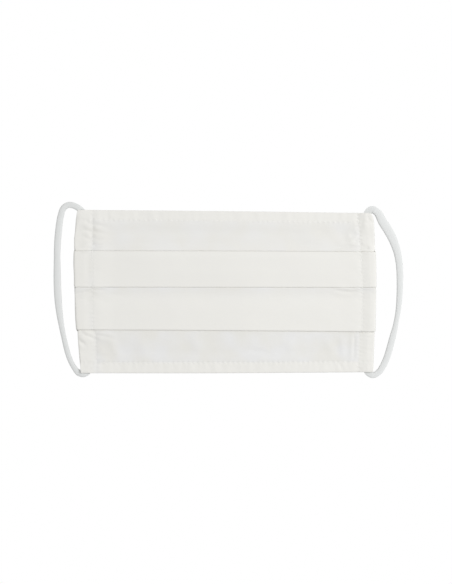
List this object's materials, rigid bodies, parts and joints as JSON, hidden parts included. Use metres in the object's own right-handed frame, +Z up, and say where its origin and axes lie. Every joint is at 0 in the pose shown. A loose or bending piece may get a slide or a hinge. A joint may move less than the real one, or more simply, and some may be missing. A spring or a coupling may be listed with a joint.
{
  "type": "cloth face mask",
  "caption": "Pleated cotton face mask lying flat, front side up, with turned hems, side casings and a soft flat elastic ear loop at each side.",
  "frame": {"origin": "middle of the cloth's box, on the surface that the mask lies on; the ear loops are left out of that box", "axes": "+X along the width, +Y towards the top hem, +Z up, out of the front of the mask"},
  "size_m": [0.2058, 0.1034, 0.0071],
  "materials": {
    "cotton": "matt off-white plain-weave cotton, pressed into pleats",
    "elastic": "soft white knitted elastic with fine lengthwise ribs"
  },
  "bodies": {
    "root": {"pleated_body": "cotton", "left_casing": "cotton", "right_casing": "cotton", "ear_loop_left": "elastic", "ear_loop_right": "elastic"}
  },
  "joints": []
}
